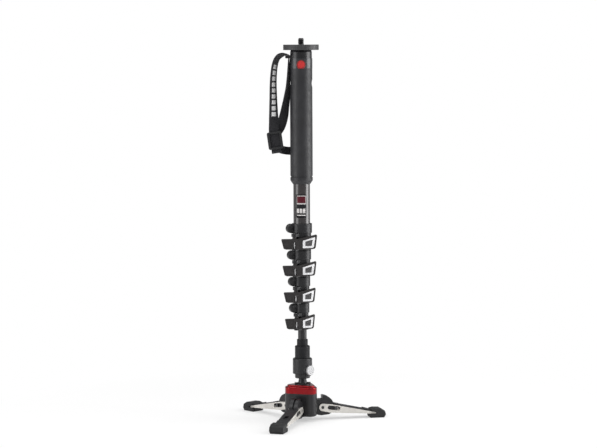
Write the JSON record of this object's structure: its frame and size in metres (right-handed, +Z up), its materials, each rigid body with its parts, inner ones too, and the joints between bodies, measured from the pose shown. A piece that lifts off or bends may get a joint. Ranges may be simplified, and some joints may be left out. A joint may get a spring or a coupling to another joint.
{
  "type": "camera monopod",
  "caption": "Telescopic camera monopod with lever clamps, padded grip and wrist strap, on a lockable ball joint over a base with folding legs.",
  "frame": {"origin": "point on the floor under the column's axis, level with the three soles", "axes": "+Z up along the column; the lever pads and the badge face -Y"},
  "size_m": [0.2353, 0.2419, 0.6175],
  "materials": {
    "black_metal": "satin black anodised",
    "gloss_black": "gloss black",
    "carbon_tube": "lacquered carbon fibre",
    "red_anodised": "gloss red anodised",
    "bare_aluminium": "fine satin",
    "steel": "machined",
    "grey_band": "semi-gloss grey",
    "red_badge": "gloss red, plain",
    "grip_rubber": "matt moulded",
    "foot_rubber": "matt moulded",
    "lever_plastic": "fine-grained dark charcoal",
    "bezel_silver": "satin silver",
    "pad_grey": "fine grid texture",
    "cover_plastic": "fine-grained black",
    "bearing_plastic": "natural moulded",
    "webbing": "woven black webbing",
    "slider_grey": "moulded dark grey"
  },
  "bodies": {
    "base": {"base_body": "black_metal", "bottom_cover": "cover_plastic", "cover_screws": "steel", "top_ring": "red_anodised", "opening_ring": "black_metal", "leg_hinge_pins": "steel"},
    "swivel": {"ball_seat": "bearing_plastic"},
    "stem": {"ball_stem": "black_metal"},
    "lower_column": {"barrel": "black_metal", "fluid_cartridge": "bare_aluminium", "tube_socket": "gloss_black", "tube_5": "carbon_tube"},
    "section_4": {"tube_4": "carbon_tube", "clamp_4_collar": "black_metal", "clamp_4_hardware": "steel"},
    "section_3": {"tube_3": "carbon_tube", "clamp_3_collar": "black_metal", "clamp_3_hardware": "steel"},
    "section_2": {"tube_2": "carbon_tube", "clamp_2_collar": "black_metal", "clamp_2_hardware": "steel"},
    "section_1": {"tube_1": "carbon_tube", "clamp_1_collar": "black_metal", "clamp_1_hardware": "steel", "grip": "grip_rubber", "grip_screws": "steel", "badge": "red_badge", "grey_band": "grey_band", "neck_collar": "gloss_black", "camera_plate": "black_metal", "camera_screw": "steel", "wrist_strap": "webbing", "strap_slider": "slider_grey"},
    "lock_sleeve": {"lock_sleeve": "black_metal"},
    "lock_button": {"lock_button": "bare_aluminium"},
    "lever_1": {"lever_1": "lever_plastic", "lever_1_bezel": "bezel_silver", "lever_1_pad": "pad_grey"},
    "lever_2": {"lever_2": "lever_plastic", "lever_2_bezel": "bezel_silver", "lever_2_pad": "pad_grey"},
    "lever_3": {"lever_3": "lever_plastic", "lever_3_bezel": "bezel_silver", "lever_3_pad": "pad_grey"},
    "lever_4": {"lever_4": "lever_plastic", "lever_4_bezel": "bezel_silver", "lever_4_pad": "pad_grey"},
    "leg_1": {"leg_1_plates": "bare_aluminium", "leg_1_cover": "cover_plastic", "leg_1_foot": "foot_rubber"},
    "latch_1": {"leg_1_latch": "bare_aluminium"},
    "leg_2": {"leg_2_plates": "bare_aluminium", "leg_2_cover": "cover_plastic", "leg_2_foot": "foot_rubber"},
    "latch_2": {"leg_2_latch": "bare_aluminium"},
    "leg_3": {"leg_3_plates": "bare_aluminium", "leg_3_cover": "cover_plastic", "leg_3_foot": "foot_rubber"},
    "latch_3": {"leg_3_latch": "bare_aluminium"}
  },
  "joints": [
    {"name": "ball_swivel", "type": "hinge", "parent": "base", "child": "swivel", "pos_m": [0, 0, 0.046], "axis": [0, 0, 1], "continuous": true},
    {"name": "ball_tilt", "type": "hinge", "parent": "swivel", "child": "stem", "pos_m": [0, 0, 0.046], "axis": [0.7431, 0.6691, 0], "range_deg": [0, 14]},
    {"name": "pan", "type": "hinge", "parent": "stem", "child": "lower_column", "pos_m": [0, 0, 0.046], "axis": [0, 0, 1], "continuous": true},
    {"name": "lock_sleeve_slide", "type": "slide", "parent": "lower_column", "child": "lock_sleeve", "axis": [0, 0, 1], "range_m": [-0.0084, 0]},
    {"name": "lock_button_press", "type": "slide", "parent": "lock_sleeve", "child": "lock_button", "axis": [-0.7071, 0.7071, 0], "range_m": [0, 0.002], "stiffness_N_per_m": 400},
    {"name": "section_4_slide", "type": "slide", "parent": "lower_column", "child": "section_4", "axis": [0, 0, 1], "range_m": [0, 0.256]},
    {"name": "section_3_slide", "type": "slide", "parent": "section_4", "child": "section_3", "axis": [0, 0, 1], "range_m": [0, 0.256]},
    {"name": "section_2_slide", "type": "slide", "parent": "section_3", "child": "section_2", "axis": [0, 0, 1], "range_m": [0, 0.256]},
    {"name": "section_1_slide", "type": "slide", "parent": "section_2", "child": "section_1", "axis": [0, 0, 1], "range_m": [0, 0.256]},
    {"name": "lever_1_hinge", "type": "hinge", "parent": "section_1", "child": "lever_1", "pos_m": [-0.01187, -0.01634, 0.2], "axis": [0, 0, -1], "range_deg": [0, 70]},
    {"name": "lever_2_hinge", "type": "hinge", "parent": "section_2", "child": "lever_2", "pos_m": [-0.01093, -0.01505, 0.2], "axis": [0, 0, -1], "range_deg": [0, 70]},
    {"name": "lever_3_hinge", "type": "hinge", "parent": "section_3", "child": "lever_3", "pos_m": [-0.00999, -0.01375, 0.2], "axis": [0, 0, -1], "range_deg": [0, 70]},
    {"name": "lever_4_hinge", "type": "hinge", "parent": "section_4", "child": "lever_4", "pos_m": [-0.00905, -0.01246, 0.2], "axis": [0, 0, -1], "range_deg": [0, 70]},
    {"name": "leg_1_fold", "type": "hinge", "parent": "base", "child": "leg_1", "pos_m": [0.03081, 0.00655, 0.0203], "axis": [0.2079, -0.9781, 0], "range_deg": [0, 90]},
    {"name": "latch_1_slide", "type": "slide", "parent": "leg_1", "child": "latch_1", "axis": [0.9684, 0.2058, -0.1409], "range_m": [0, 0.003], "stiffness_N_per_m": 300},
    {"name": "leg_2_fold", "type": "hinge", "parent": "base", "child": "leg_2", "pos_m": [-0.00973, -0.02996, 0.0203], "axis": [-0.9511, 0.309, 0], "range_deg": [0, 90]},
    {"name": "latch_2_slide", "type": "slide", "parent": "leg_2", "child": "latch_2", "axis": [-0.3059, -0.9416, -0.1409], "range_m": [0, 0.003], "stiffness_N_per_m": 300},
    {"name": "leg_3_fold", "type": "hinge", "parent": "base", "child": "leg_3", "pos_m": [-0.02108, 0.02341, 0.0203], "axis": [0.7431, 0.6691, 0], "range_deg": [0, 90]},
    {"name": "latch_3_slide", "type": "slide", "parent": "leg_3", "child": "latch_3", "axis": [-0.6625, 0.7357, -0.1409], "range_m": [0, 0.003], "stiffness_N_per_m": 300}
  ]
}
